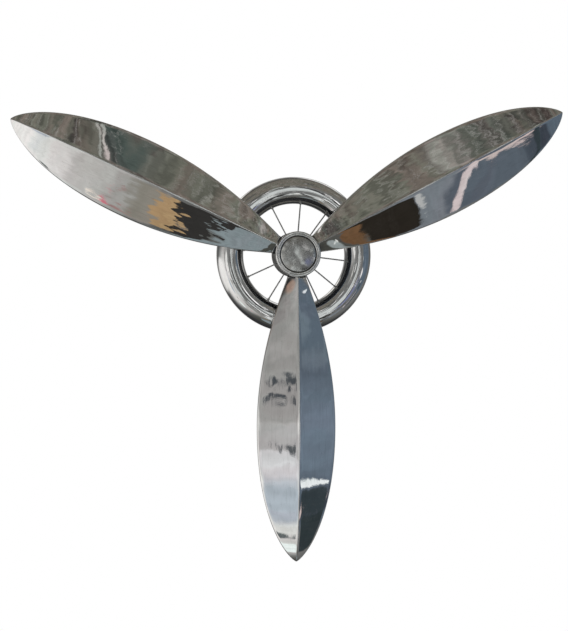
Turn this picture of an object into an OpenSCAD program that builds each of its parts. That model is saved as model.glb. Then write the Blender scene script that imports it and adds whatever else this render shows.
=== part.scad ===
// Three-blade polished metal propeller that turns in front of a spoked tube ring and hangs on a wall.
// Millimetres. X is to the right and Z is up. The wall is the plane Y = 0 and the front faces -Y.
// Each piece is drawn lying on a bench, with z as the distance from the wall, and on_wall() stands it up.

/* [Blades] */
// Distance from the propeller axis to the tip of the right blade
right_tip_r = 677; // [650:1:690]
// Distance from the axis to the tip of the left blade
left_tip_r = 669; // [650:1:690]
// Distance from the axis to the tip of the lower blade
lower_tip_r = 669; // [650:1:690]
// Width of a blade at its widest
blade_w = 172; // [160:1:180]
// Distance from the axis to the widest place
widest_r = 378; // [350:2:400]
// Width of a blade where it meets the hub
root_w = 40; // [38:1:42]
// Width across the very tip
tip_w = 2.4; // [2:0.2:8]
// Rise of the centre fold for each millimetre of half width
fold_slope = 0.55; // [0.5:0.01:0.6]
// Extra rise of the fold at the hub
root_rise = 11; // [9:1:11]
// Depth of the turned-back edge at the widest place
edge_depth = 11; // [9:1:12]
// Depth of the turned-back edge where the blade narrows to nothing
edge_depth_min = 5; // [4.5:0.5:5.5]
// Thickness of the blade sheet
sheet_t = 1.5; // [1.2:0.1:1.6]
// Distance from the wall to the plane of the blade edges
edge_z = 76; // [75.5:0.5:77]
// Angle of the right blade, from the horizontal on the right
right_angle = 26.6; // [20:0.1:35]
// Angle of the left blade
left_angle = 153.6; // [145:0.1:160]
// Angle of the lower blade
lower_angle = 268.5; // [262:0.1:278]

/* [Ring] */
// Radius of the ring from the axis to the middle of its tube
ring_r = 142; // [138:1:160]
// Radius of the tube
tube_r = 29.5; // [27:0.5:30]
// Thickness of the tube's sheet
tube_t = 1.5; // [1:0.1:2]
// Distance from the wall to the middle of the tube
ring_z = 32; // [31.5:0.5:34]
// Diameter of each rubber wall pad
pad_d = 16; // [10:1:24]

/* [Spokes] */
// Diameter of a spoke
spoke_d = 3; // [2:0.1:3.4]
// Turn of the whole set of spokes
spoke_turn = -6.5; // [-15:0.5:15]
// Distance from the wall at which a spoke leaves the drum
spoke_root_z = 58; // [52:0.5:60]
// How far forward of the tube's inner edge a spoke meets the tube, as an angle round the tube
spoke_tube_angle = 32; // [20:1:45]

/* [Hub] */
// Radius of the two drums
drum_r = 49.4; // [48:0.1:50]
// Distance from the wall to the back of the fixed drum
drum_back_z = 31.5; // [29:0.5:34]
// Distance from the wall to the front of the fixed drum
drum_front_z = 68; // [67.5:0.5:68.5]
// Diameter of the axle
axle_d = 10; // [9.6:0.1:10.4]
// Running clearance all round the axle
axle_gap = 0.04; // [0.02:0.01:0.08]
// Radius of the wall plate and of the tube behind the drum
boss_r = 40; // [39:0.5:41]

/* [Wall plate] */
// Thickness of the wall plate
plate_t = 2.5; // [2.5:0.1:3]
// Distance between the two keyholes
keyhole_spacing = 38; // [34:1:40]
// Diameter of a keyhole's round entry
keyhole_d = 11; // [9:0.5:12]
// Width of a keyhole's slot
keyhole_slot_w = 5.5; // [4:0.5:6]
// Height of the slot's end above the entry
keyhole_rise = 10; // [9:1:12]

/* [Cap] */
// Height of the cap's rim in front of the turning hub
rim_h = 9; // [7.5:0.5:10]
// Radius of the opening that shows the dome
dome_r = 39.8; // [38:0.1:40.4]
// Radius of the sphere that the dome is part of
dome_sphere_r = 113; // [90:1:200]

/* [Hidden] */
$fn = 96;

// ---- driving relations ----
cut = 1;                              // how far a cutting shape runs past what it cuts
fit_gap = 0.05;                       // clearance round screws, spokes and spigots
spoke_count = 12;
// How far each spoke strays from its even place, in degrees
spoke_stray = [-1.5, 0, -2, -1, 1.5, 0, 0, 0, 4, 0, 2, -3];
blade_angles = [right_angle, left_angle, lower_angle];

// fixed drum and the cover behind it
drum_wall = 6;
drum_face_t = 8;
cover_flange_t = 4;
cover_spigot_h = 4.5;
boss_wall = 6;
cover_back_z = drum_back_z - cover_flange_t;
screw_ring_r = drum_r - drum_wall / 2 - 0.3;

// turning hub
hub_back_z = drum_front_z + 1;
hub_floor_z = hub_back_z + 7.5;
hub_rim_z = hub_back_z + 23;
hub_wall = 4.5;
hub_cavity_r = drum_r - hub_wall;
hub_boss_r = 13;
hub_boss_z = hub_rim_z - 4;
nut_recess_r = 12;
nut_recess_z = hub_back_z + 6.5;
bush_r = 7;
bush_flange_r = 10;
bush_flange_t = 1.5;

// axle stack
hex_flats = 17;
hex_r = hex_flats / sqrt(3);
washer_t = 1.5;
jam_nut_h = 5;
lock_nut_h = 7;
axle_head_h = 6.4;
axle_end_z = hub_boss_z + bush_flange_t + washer_t + lock_nut_h + 2.5;

// spokes, in the plane of radius and height
spoke_root = [drum_r, spoke_root_z];
spoke_end = [ring_r - tube_r * cos(spoke_tube_angle), ring_z + tube_r * sin(spoke_tube_angle)];
spoke_len = norm(spoke_end - spoke_root);
spoke_dip = atan2(spoke_root[1] - spoke_end[1], spoke_end[0] - spoke_root[0]);
spoke_in_drum = 5;
spoke_in_tube = 3;
nipple_d = spoke_d + 1.8;
nipple_head_d = spoke_d + 3.2;

// blade outline, from the hub to the widest place and on to the tip
root_half = root_w / 2;
wide_half = blade_w / 2;
tip_half = tip_w / 2;
skin_gap = 0.3;                       // between the hub and the ends of the skins
root_start = drum_r + skin_gap;
root_curve = [
    [root_start, root_half], [root_start + 66, root_half + 25],
    [widest_r - 144, wide_half], [widest_r, wide_half]
];
function tip_curve(tip_r) = [
    [widest_r, wide_half], [lerp(widest_r, tip_r, 0.7), wide_half],
    [tip_r - 8, tip_half + 18], [tip_r, tip_half]
];
root_steps = 14;
tip_steps = 20;
root_rise_reach = 150;                // distance along the blade over which the extra rise fades
edge_round = 2;
ridge_round = 1.5;

function lerp(a, b, t) = a + (b - a) * t;
function bezier2(p, t) = lerp(lerp(p[0], p[1], t), lerp(p[1], p[2], t), t);
function bezier3(p, t) = lerp(bezier2([p[0], p[1], p[2]], t), bezier2([p[1], p[2], p[3]], t), t);

// Each station is [distance from the axis, half width].
function stations(tip_r) = concat(
    [for (i = [0:root_steps]) bezier3(root_curve, i / root_steps)],
    [for (i = [1:tip_steps]) bezier3(tip_curve(tip_r), i / tip_steps)]
);

function fold_rise(st) = fold_slope * st[1]
    + root_rise * pow(max(0, 1 - (st[0] - root_start) / root_rise_reach), 2);
function edge_drop(st) = edge_depth_min + (edge_depth - edge_depth_min) * st[1] / wide_half;

// Half of a roof-shaped section, from the foot of its side wall to beside the fold.
// corner is the height at which the slope and the wall would meet.
function half_section(half_w, top, foot, corner) =
    let (slope = (top - corner) / half_w,
         round_w = min(edge_round, 0.45 * half_w),
         fold_w = min(ridge_round, 0.3 * half_w),
         bend = [[half_w, corner - round_w], [half_w, corner], [half_w - round_w, corner + round_w * slope]])
    [
        [half_w, -foot],
        for (t = [0, 0.35, 0.7, 1]) bezier2(bend, t),
        [half_w / 2, top - slope * half_w / 2],
        [fold_w, top - slope * fold_w]
    ];

function full_section(half_w, top, foot, corner) =
    let (half = half_section(half_w, top, foot, corner),
         last = len(half) - 1,
         crown = [0, half[last][1] + (top - half[last][1]) / 2])
    concat([for (p = half) [-p[0], p[1]]], [crown], [for (i = [last:-1:0]) half[i]]);

// The sheet's outside and, offset by its thickness, its inside, which shrinks to a slit at the tip.
tip_slit = 0.3;
function skin_outside(st) = full_section(st[1], fold_rise(st), edge_drop(st), 0);
function skin_inside(st) =
    let (slope = fold_rise(st) / st[1],
         half_w = max(st[1] - sheet_t, tip_slit),
         corner = -sheet_t * (sqrt(1 + slope * slope) - slope))
    full_section(half_w, corner + slope * half_w, edge_drop(st), corner);

back_inset = 0.4;                     // how deep the back skin sits inside the turned-back edge
back_end_half = 4;                    // half width of the blade where the back skin ends
function back_section(st) =
    let (half_w = st[1] - sheet_t - 2 * fit_gap, low = back_inset - edge_drop(st))
    concat([for (k = [-2:2]) [half_w * k / 2, low]], [for (k = [2:-1:-2]) [half_w * k / 2, low + sheet_t]]);

// A section's points in space. The first one is wrapped round the hub's side.
function placed(st, section, first) =
    [for (p = section) [first ? sqrt(pow(root_start, 2) - p[0] * p[0]) : st[0], p[0], edge_z + p[1]]];

// Closed loops of equal length joined into a solid. Each end is closed by a strip between the
// first half of its loop and the second half, which runs back beside it.
module loft(loops) {
    n = len(loops[0]);
    rings = len(loops);
    sides = [for (i = [0:rings - 2], j = [0:n - 1]) let (k = (j + 1) % n)
        each [[i * n + j, i * n + k, (i + 1) * n + k], [i * n + j, (i + 1) * n + k, (i + 1) * n + j]]];
    end = (rings - 1) * n;
    root_cap = [for (j = [0:n / 2 - 2])
        each [[j, n - 1 - j, n - 2 - j], [j, n - 2 - j, j + 1]]];
    tip_cap = [for (j = [0:n / 2 - 2])
        each [[end + j, end + n - 2 - j, end + n - 1 - j], [end + j, end + j + 1, end + n - 2 - j]]];
    polyhedron(points = [for (l = loops, p = l) p], faces = concat(sides, root_cap, tip_cap));
}

// ---- placing ----
module on_wall() rotate([90, 0, 0]) children();
module ring_of(count, r, start = 0)
    for (i = [0:count - 1]) rotate([0, 0, start + i * 360 / count]) translate([r, 0, 0]) children();
module tube(r_out, r_in, z0, z1) translate([0, 0, z0]) difference() {
    cylinder(r = r_out, h = z1 - z0);
    translate([0, 0, -cut]) cylinder(r = r_in, h = z1 - z0 + 2 * cut);
}
module rod(r, z0, z1) translate([0, 0, z0]) cylinder(r = r, h = z1 - z0);
module hexagon(z0, z1) translate([0, 0, z0]) cylinder(r = hex_r, h = z1 - z0, $fn = 6);
// Something drawn along +Z is laid along spoke number i, with z = 0 at the drum's side.
module along_spoke(i) rotate([0, 0, spoke_turn + i * 360 / spoke_count + spoke_stray[i]])
    translate([spoke_root[0], 0, spoke_root[1]]) rotate([0, 90 + spoke_dip, 0]) children();
module each_spoke() for (i = [0:spoke_count - 1]) along_spoke(i) children();

// ---- wall plate ----
plate_screw_r = boss_r - boss_wall / 2;
plate_screw_d = 4;
plate_head_d = 8;
keyhole_z = 4;                        // height of the round entries above the axis

module keyhole_cut() {
    rod(keyhole_d / 2, -cut, plate_t + cut);
    translate([-keyhole_slot_w / 2, 0, -cut]) cube([keyhole_slot_w, keyhole_rise, plate_t + 2 * cut]);
    translate([0, keyhole_rise, 0]) rod(keyhole_slot_w / 2, -cut, plate_t + cut);
}

module hanger_plate() color("gray") on_wall() difference() {
    rod(boss_r, 0, plate_t);
    for (side = [-1, 1]) translate([side * keyhole_spacing / 2, keyhole_z, 0]) keyhole_cut();
    ring_of(4, plate_screw_r, 45) {
        rod(plate_screw_d / 2 + fit_gap, -cut, plate_t + cut);
        translate([0, 0, -0.01]) cylinder(d1 = plate_head_d + 0.1, d2 = plate_screw_d + 0.1, h = 2.01);
    }
}

module hanger_screws() color("dimgray") on_wall() ring_of(4, plate_screw_r, 45) difference() {
    union() {
        rod(plate_screw_d / 2, 0.2, 12);
        translate([0, 0, 0.2]) cylinder(d1 = plate_head_d - 0.4, d2 = plate_screw_d, h = 1.8);
    }
    hex_socket(2.5, 0.2, 1.4);
}

module hex_socket(flats, z0, z1)
    translate([0, 0, z0 - cut]) cylinder(d = flats * 2 / sqrt(3), h = z1 - z0 + cut, $fn = 6);

// ---- fixed drum ----
module rear_cover() color("silver") on_wall() difference() {
    rotate_extrude() polygon([
        [boss_r - boss_wall, plate_t], [boss_r, plate_t], [boss_r, cover_back_z], [drum_r, cover_back_z],
        [drum_r, drum_back_z], [drum_r - drum_wall - fit_gap, drum_back_z],
        [drum_r - drum_wall - fit_gap, drum_back_z + cover_spigot_h],
        [boss_r - 2, drum_back_z + cover_spigot_h], [boss_r - boss_wall, drum_back_z]
    ]);
    ring_of(4, plate_screw_r, 45) rod(plate_screw_d / 2 + fit_gap, plate_t - cut, 14);
    ring_of(4, screw_ring_r, 0) rod(1.5 + fit_gap, cover_back_z - cut, drum_back_z + cut);
}

module cover_screws() color("dimgray") on_wall() ring_of(4, screw_ring_r, 0) difference() {
    union() {
        rod(1.5, cover_back_z - 0.1, drum_back_z + 8);
        rod(2.75, cover_back_z - 2, cover_back_z);
    }
    hex_socket(2, cover_back_z - 2, cover_back_z - 0.8);
}

module fixed_drum() color("#2c2d30") on_wall() difference() {
    rod(drum_r, drum_back_z, drum_front_z);
    rod(drum_r - drum_wall, drum_back_z - cut, drum_front_z - drum_face_t);
    rod(axle_d / 2 + fit_gap, drum_back_z, drum_front_z + cut);
    ring_of(4, screw_ring_r, 0) rod(1.5 + fit_gap, drum_back_z - cut, drum_back_z + 9);
    each_spoke() rod(spoke_d / 2 + fit_gap, -spoke_in_drum - fit_gap, cut);
}

// ---- axle ----
module axle_bolt() color("lightgray") on_wall() {
    hexagon(drum_front_z - drum_face_t - washer_t - axle_head_h, drum_front_z - drum_face_t - washer_t);
    rod(axle_d / 2, drum_front_z - drum_face_t - washer_t - cut, axle_end_z);
}

module plain_washer(z0, z1, r_out = bush_flange_r) tube(r_out, axle_d / 2 + fit_gap, z0, z1);

module drilled_nut(z0, z1) difference() {
    hexagon(z0, z1);
    rod(axle_d / 2 + fit_gap, z0 - cut, z1 + cut);
}

module axle_washer() color("silver") on_wall()
    plain_washer(drum_front_z - drum_face_t - washer_t, drum_front_z - drum_face_t);

module axle_jam_nut() color("silver") on_wall() drilled_nut(drum_front_z, drum_front_z + jam_nut_h);

module friction_washer() color("ivory") on_wall()
    plain_washer(drum_front_z + jam_nut_h, nut_recess_z - bush_flange_t - fit_gap, hex_flats / 2);

module thrust_washer() color("silver") on_wall()
    plain_washer(hub_boss_z + bush_flange_t + fit_gap, hub_boss_z + bush_flange_t + washer_t);

module axle_lock_nut() color("silver") on_wall()
    drilled_nut(hub_boss_z + bush_flange_t + washer_t, hub_boss_z + bush_flange_t + washer_t + lock_nut_h);

// ---- spokes and ring ----
module spokes() color("silver") on_wall()
    each_spoke() rod(spoke_d / 2, -spoke_in_drum, spoke_len + spoke_in_tube);

module spoke_nipples() color("darkgray") on_wall() each_spoke() translate([0, 0, spoke_len]) difference() {
    union() {
        rod(nipple_d / 2, -6, spoke_in_tube + 0.6);
        rod(nipple_head_d / 2, spoke_in_tube + 0.5, spoke_in_tube + 2);
    }
    rod(spoke_d / 2 + fit_gap, -6 - cut, spoke_in_tube + 2 + cut);
}

// Half of the hollow tube ring: side 1 is the front half and side -1 the rear half.
module half_ring(side) translate([0, 0, ring_z]) rotate_extrude() intersection() {
    translate([ring_r, 0]) difference() {
        circle(r = tube_r);
        circle(r = tube_r - tube_t);
    }
    translate([0, side > 0 ? 0 : -2 * tube_r]) square([2 * ring_r, 2 * tube_r]);
}

module ring_front_shell() color("gainsboro") on_wall() difference() {
    half_ring(1);
    each_spoke() rod(nipple_d / 2 + fit_gap, spoke_len - 4, spoke_len + 4);
}

module ring_rear_shell() color("gainsboro") on_wall() half_ring(-1);

module wall_pads() color("#202020") on_wall() difference() {
    ring_of(4, ring_r, 45) rod(pad_d / 2, 0, 6);
    translate([0, 0, ring_z]) rotate_extrude() translate([ring_r, 0]) circle(r = tube_r);
}

// ---- turning hub ----
spar_w = 20;
spar_t = 6;
spar_start = 18;
spar_end = 225;
spar_screw_s = [27, 38];              // distances of the two screws from the axis
spar_screw_r = 2;
spar_rivet_s = [92, 200];             // distances of the two rivets, either side of the ring
rivet_r = 2;
rivet_collar_r = 4;

module each_blade() for (a = blade_angles) rotate([0, 0, a]) children();
module at_distances(list) for (s = list) translate([s, 0, 0]) children();

module turning_hub() color("#3a3b3f") on_wall() difference() {
    union() {
        difference() {
            rod(drum_r, hub_back_z, hub_rim_z);
            rod(hub_cavity_r, hub_floor_z, hub_rim_z + cut);
        }
        rod(hub_boss_r, hub_back_z, hub_boss_z);
    }
    rod(bush_r, hub_back_z - cut, hub_rim_z);
    rod(nut_recess_r, hub_back_z - cut, nut_recess_z);
    each_blade() {
        translate([hub_cavity_r - 2 * cut, -spar_w / 2 - fit_gap, hub_floor_z])
            cube([hub_wall + 3 * cut, spar_w + 2 * fit_gap, spar_t + fit_gap]);
        at_distances(spar_screw_s) rod(spar_screw_r + fit_gap, hub_floor_z - 5.5, hub_floor_z + cut);
    }
    bezel_screw_places() rod(1.5 + fit_gap, 0, drum_r - hub_cavity_r + 2 * cut);
}

// Three radial places between the blades, with +Z pointing outwards from the spigot.
module bezel_screw_places()
    ring_of(3, 0, 90) translate([hub_cavity_r - cut, 0, hub_rim_z - 2]) rotate([0, 90, 0]) children();

module flanged_bush(z_sleeve_0, z_sleeve_1, z_flange_0, z_flange_1) difference() {
    union() {
        rod(bush_r, z_sleeve_0, z_sleeve_1);
        rod(bush_flange_r, z_flange_0, z_flange_1);
    }
    rod(axle_d / 2 + axle_gap, z_flange_0 - 20, z_flange_1 + 20);
}

module rear_bush() color("peru") on_wall()
    flanged_bush(nut_recess_z - cut, nut_recess_z + 5, nut_recess_z - bush_flange_t, nut_recess_z);

module front_bush() color("peru") on_wall()
    flanged_bush(hub_boss_z - 5, hub_boss_z + cut, hub_boss_z, hub_boss_z + bush_flange_t);

// ---- blades ----
module blade_at(angle) on_wall() rotate([0, 0, angle]) children();

module front_skin(angle, tip_r) color("whitesmoke") blade_at(angle) loft([
    for (st = stations(tip_r)) let (outside = skin_outside(st), inside = skin_inside(st))
        placed(st, concat(outside, [for (j = [len(inside) - 1:-1:0]) inside[j]]), st[0] == root_start)
]);

module back_skin(angle, tip_r) color("silver") blade_at(angle) difference() {
    loft([for (st = stations(tip_r)) if (st[1] > back_end_half)
        placed(st, back_section(st), st[0] == root_start)]);
    at_distances(spar_rivet_s) rod(rivet_r + fit_gap, edge_z - 2 * edge_depth, edge_z);
}

module spar(angle) color("lightgray") blade_at(angle) difference() {
    translate([spar_start, -spar_w / 2, hub_floor_z]) cube([spar_end - spar_start, spar_w, spar_t]);
    at_distances(spar_screw_s) rod(spar_screw_r + fit_gap, hub_floor_z - cut, hub_floor_z + spar_t + cut);
    at_distances(spar_rivet_s) rod(rivet_r + fit_gap, hub_floor_z - cut, hub_floor_z + spar_t + cut);
}

module spar_screws() color("dimgray") on_wall() each_blade() at_distances(spar_screw_s) difference() {
    union() {
        rod(spar_screw_r, hub_floor_z - 5, hub_floor_z + spar_t + cut);
        rod(3.5, hub_floor_z + spar_t, hub_floor_z + spar_t + 4);
    }
    mirror([0, 0, 1]) hex_socket(3, -hub_floor_z - spar_t - 4, -hub_floor_z - spar_t - 2);
}

// Height of a back skin's rear side at a distance from the axis, short of the widest place.
function back_z_at(s) = edge_z + back_inset - edge_drop([s, lookup(s, stations(right_tip_r))]);
rivet_gap = 0.2;                      // between the sloping back skin and the rivets' collars

module spar_rivets() color("silver") on_wall()
    each_blade() for (s = spar_rivet_s) let (back = back_z_at(s)) translate([s, 0, 0]) {
    rod(rivet_r, back - cut, hub_floor_z + spar_t + cut);
    rod(rivet_collar_r, back + sheet_t + rivet_gap, hub_floor_z - fit_gap);
    rod(rivet_collar_r, hub_floor_z + spar_t, hub_floor_z + spar_t + 1.6);
    translate([0, 0, back - rivet_gap - 1.5])
        cylinder(r1 = rivet_collar_r - 1.2, r2 = rivet_collar_r + 0.5, h = 1.5);
}

// ---- cap ----
bezel_r = drum_r - 0.2;
bezel_round = 4;
lip_round = 1.5;
spigot_h = 4;
seat_r = 42;
seat_z = hub_rim_z + rim_h - 4;       // underside of the lip
groove_r = 43.6;
dome_t = 1.5;
dome_gap = 1.6;                       // open groove between the lip and the dome
flange_z = seat_z - 0.1;              // front of the dome's flange, under the lip

function arc(cx, cy, r, from, to, steps) =
    [for (i = [0:steps]) let (a = lerp(from, to, i / steps)) [cx + r * cos(a), cy + r * sin(a)]];

module cap_bezel() color("whitesmoke") on_wall() difference() {
    rotate_extrude() polygon(concat(
        [[seat_r, hub_rim_z - spigot_h], [hub_cavity_r - 2 * fit_gap, hub_rim_z - spigot_h],
         [hub_cavity_r - 2 * fit_gap, hub_rim_z], [bezel_r, hub_rim_z]],
        arc(bezel_r - bezel_round, hub_rim_z + rim_h - bezel_round, bezel_round, 0, 90, 8),
        [[groove_r + 0.6, hub_rim_z + rim_h], [groove_r, hub_rim_z + rim_h - 0.8],
         [groove_r - 0.6, hub_rim_z + rim_h]],
        arc(dome_r + lip_round, hub_rim_z + rim_h - lip_round, lip_round, 90, 180, 5),
        [[dome_r, seat_z], [seat_r, seat_z]]
    ));
    bezel_screw_places() rod(1.5 + fit_gap, -2, 2 * cut);
}

// The dome's profile is an outer arc, a short drop, a flat flange under the lip and an inner arc.
dome_edge_r = dome_r - dome_gap;
dome_drop = 1.7;
dome_edge_z = flange_z + dome_drop;
dome_centre_z = dome_edge_z - sqrt(pow(dome_sphere_r, 2) - pow(dome_edge_r, 2));
dome_half_angle = asin(dome_edge_r / dome_sphere_r);
dome_inner_half_angle = asin((dome_edge_r - dome_t) / (dome_sphere_r - dome_t));
dome_steps = 12;

module cap_dome() color("darkgray") on_wall() rotate_extrude() polygon(concat(
    arc(0, dome_centre_z, dome_sphere_r, 90, 90 - dome_half_angle, dome_steps),
    [[dome_edge_r, flange_z], [seat_r - 0.2, flange_z], [seat_r - 0.2, flange_z - dome_t],
     [dome_edge_r - dome_t, flange_z - dome_t]],
    arc(0, dome_centre_z, dome_sphere_r - dome_t, 90 - dome_inner_half_angle, 90, dome_steps)
));

module dome_clip() color("dimgray") on_wall()
    tube(seat_r - 0.1, seat_r - 2.5, flange_z - dome_t - 1.7, flange_z - dome_t - 0.1);

module bezel_grub_screws() color("dimgray") on_wall() bezel_screw_places() difference() {
    rod(1.5, -0.6, hub_wall + cut - 0.2);
    mirror([0, 0, 1]) hex_socket(1.5, -hub_wall - cut + 0.2, -hub_wall + 1.2);
}

// ---- drawing ----
hanger_plate();
hanger_screws();
rear_cover();
cover_screws();
fixed_drum();
axle_bolt();
axle_washer();
axle_jam_nut();
friction_washer();
thrust_washer();
axle_lock_nut();
spokes();
spoke_nipples();
ring_front_shell();
ring_rear_shell();
wall_pads();
turning_hub();
rear_bush();
front_bush();
front_skin(right_angle, right_tip_r);  // right_front_skin
front_skin(left_angle, left_tip_r);  // left_front_skin
front_skin(lower_angle, lower_tip_r);  // lower_front_skin
back_skin(right_angle, right_tip_r);  // right_back_skin
back_skin(left_angle, left_tip_r);  // left_back_skin
back_skin(lower_angle, lower_tip_r);  // lower_back_skin
spar(right_angle);  // right_spar
spar(left_angle);  // left_spar
spar(lower_angle);  // lower_spar
spar_screws();
spar_rivets();
cap_bezel();
cap_dome();
dome_clip();
bezel_grub_screws();
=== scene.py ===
"""A three-blade polished metal propeller on a spoked tube ring, hung on a wall.

The front faces -Y, X is to the right and Z is up. The wall is the plane Y = 0, and the propeller's
axis is the Y axis. Lengths are metres. "Depth" is the distance in front of the wall, so y = -depth.
"""

import math

import bmesh
import bpy
import numpy as np
from mathutils import Matrix, Vector, noise


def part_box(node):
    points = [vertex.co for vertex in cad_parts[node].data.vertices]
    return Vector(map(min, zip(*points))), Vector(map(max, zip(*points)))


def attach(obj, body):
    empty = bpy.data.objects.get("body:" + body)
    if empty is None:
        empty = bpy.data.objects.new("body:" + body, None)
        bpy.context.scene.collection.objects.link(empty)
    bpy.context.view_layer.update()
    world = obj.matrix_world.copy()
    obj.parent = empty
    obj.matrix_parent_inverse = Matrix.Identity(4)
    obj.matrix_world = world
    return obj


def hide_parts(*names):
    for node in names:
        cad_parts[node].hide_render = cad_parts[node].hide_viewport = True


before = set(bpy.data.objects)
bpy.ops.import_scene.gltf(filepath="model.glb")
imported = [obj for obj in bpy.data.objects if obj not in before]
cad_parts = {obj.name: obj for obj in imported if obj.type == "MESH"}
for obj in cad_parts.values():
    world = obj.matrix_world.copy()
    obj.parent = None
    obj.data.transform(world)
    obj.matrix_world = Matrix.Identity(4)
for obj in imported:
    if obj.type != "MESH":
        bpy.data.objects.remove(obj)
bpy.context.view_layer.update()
MM = 0.001
FIXED, TURNING = "ring_and_mount", "propeller"

# ---------------------------------------------------------------- driving sizes, from the CAD frame
BLADES = ("right", "left", "lower")


def box_centre(node):
    low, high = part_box(node)
    return (low + high) / 2


def blade_angle(side):
    """A straight bar's box is centred on the bar, so its centre gives the blade's direction."""
    centre = box_centre(side + "_spar")
    return math.atan2(centre.z, centre.x)


hub_low, hub_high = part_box("turning_hub")
ring_low, ring_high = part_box("ring_front_shell")
bezel_low, bezel_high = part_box("cap_bezel")
dome_low, dome_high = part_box("cap_dome")

HUB_R, HUB_FRONT = hub_high.x, -hub_low.y
TUBE_R = ring_high.y - ring_low.y
RING_DEPTH = -ring_high.y
RING_R = ring_high.x - TUBE_R
BEZEL_R, BEZEL_FRONT = bezel_high.x, -bezel_low.y
DOME_SEAT_R, DOME_FRONT = dome_high.x, -dome_low.y


def tip_radius(side):
    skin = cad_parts[side + "_front_skin"].data
    return max(math.hypot(vertex.co.x, vertex.co.z) for vertex in skin.vertices)


# The blade's outline and section follow the same rules as its CAD skins.
EDGE_DEPTH = 76 * MM
ROOT_HALF, WIDE_HALF, TIP_HALF = 20 * MM, 86 * MM, 1.2 * MM
WIDEST_R = 378 * MM
ROOT_START = HUB_R + 0.3 * MM
FOLD_SLOPE = 0.55
ROOT_RISE, ROOT_RISE_REACH = 11 * MM, 150 * MM
DROP_MIN, DROP_MAX = 5 * MM, 11 * MM
SHEET = 1.5 * MM
EDGE_ROUND, FOLD_ROUND = 2 * MM, 1.5 * MM
BACK_END_HALF, BACK_GAP, BACK_LIFT = 4 * MM, 0.1 * MM, 0.4 * MM

# How far the outline's curves reach from their ends before they bend. TIP_PULL is a share of the way
# from the widest place to the tip.
ROOT_PULL, ROOT_FLARE, WIDE_PULL = 66 * MM, 25 * MM, 144 * MM
TIP_PULL, TIP_BACK, TIP_FLARE = 0.7, 8 * MM, 18 * MM

# The beating: depth and size of its broad and fine dents, and where it fades out.
BROAD_DENT, BROAD_SIZE = 0.35 * MM, 130 * MM
FINE_DENT, FINE_SIZE = 0.18 * MM, 45 * MM
BACK_DENT, BACK_SIZE = 0.25 * MM, 90 * MM
FADE_HALF_WIDTH, FADE_FROM_ROOT = 30 * MM, 25 * MM

# The ring's seam, and its dents.
SEAM_EASE, SEAM_EASE_RATE, SEAM_KEEP = 0.5 * MM, 40, 6 * MM
RING_BROAD_DENT, RING_BROAD_SIZE = 0.16 * MM, 55 * MM
RING_FINE_DENT, RING_FINE_SIZE = 0.05 * MM, 20 * MM

# The cap's lip, and the groove between its two beads. Where the dome meets the lip the metal is painted
# near black, as shade in the recess under the lip.
LIP_R, GROOVE_R = 39.8 * MM, 43.6 * MM
# Painted shade: the near-black colour for the recess under the cap's lip.
LIP_SHADE_COLOUR = (0.03, 0.03, 0.03)

# ---------------------------------------------------------------- mesh helpers


def smooth_where_flat(bm, sharp_angle):
    for face in bm.faces:
        face.smooth = True
    for edge in bm.edges:
        if len(edge.link_faces) == 2 and edge.calc_face_angle(0.0) > sharp_angle:
            edge.smooth = False


def object_from_bmesh(name, bm, sharp_degrees=35):
    bmesh.ops.recalc_face_normals(bm, faces=bm.faces)
    smooth_where_flat(bm, math.radians(sharp_degrees))
    mesh = bpy.data.meshes.new(name)
    bm.to_mesh(mesh)
    bm.free()
    obj = bpy.data.objects.new(name, mesh)
    bpy.context.scene.collection.objects.link(obj)
    return obj


def add_grid(bm, rows, close_rows=False, close_columns=False):
    """Joins rows of points with quads, and returns the rows of vertices."""
    verts = [[bm.verts.new(p) for p in row] for row in rows]
    row_count, column_count = len(verts), len(verts[0])
    for i in range(row_count if close_rows else row_count - 1):
        for j in range(column_count if close_columns else column_count - 1):
            a, b = verts[i], verts[(i + 1) % row_count]
            k = (j + 1) % column_count
            bm.faces.new((a[j], a[k], b[k], b[j]))
    return verts


def bezier(points, t):
    points = [np.array(p, float) for p in points]
    while len(points) > 1:
        points = [a + (b - a) * t for a, b in zip(points, points[1:])]
    return points[0]


def lathe(name, profile, segments=128, sharp_degrees=40, wobble=None):
    """Turns a closed outline of (radius, depth) points round the propeller's axis."""
    bm = bmesh.new()
    rows = []
    for i in range(segments):
        angle = math.tau * i / segments
        row = []
        for radius, depth in profile:
            point = Vector((radius * math.cos(angle), -depth, radius * math.sin(angle)))
            row.append(wobble(point) if wobble else point)
        rows.append(row)
    add_grid(bm, rows, close_rows=True, close_columns=True)
    bmesh.ops.remove_doubles(bm, verts=bm.verts, dist=1e-6)
    bmesh.ops.dissolve_degenerate(bm, edges=bm.edges, dist=1e-7)
    return object_from_bmesh(name, bm, sharp_degrees)


def beaten(point, size, seed):
    """Smooth noise between about -1 and 1, with features about size across."""
    return noise.noise(Vector(point) / size + Vector((seed, 1.7 * seed, -seed)))


# ---------------------------------------------------------------- blades


def outline_stations(tip_r, root_steps, tip_steps):
    """(distance from the axis, half width) along the blade, from hub to tip."""
    root = ((ROOT_START, ROOT_HALF), (ROOT_START + ROOT_PULL, ROOT_HALF + ROOT_FLARE),
            (WIDEST_R - WIDE_PULL, WIDE_HALF), (WIDEST_R, WIDE_HALF))
    tip = ((WIDEST_R, WIDE_HALF), (WIDEST_R + (tip_r - WIDEST_R) * TIP_PULL, WIDE_HALF),
           (tip_r - TIP_BACK, TIP_HALF + TIP_FLARE), (tip_r, TIP_HALF))
    out = [bezier(root, i / root_steps) for i in range(root_steps + 1)]
    return out + [bezier(tip, i / tip_steps) for i in range(1, tip_steps + 1)]


def fold_rise(distance, half_width):
    extra = max(0.0, 1 - (distance - ROOT_START) / ROOT_RISE_REACH)
    return FOLD_SLOPE * half_width + ROOT_RISE * extra ** 2


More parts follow.
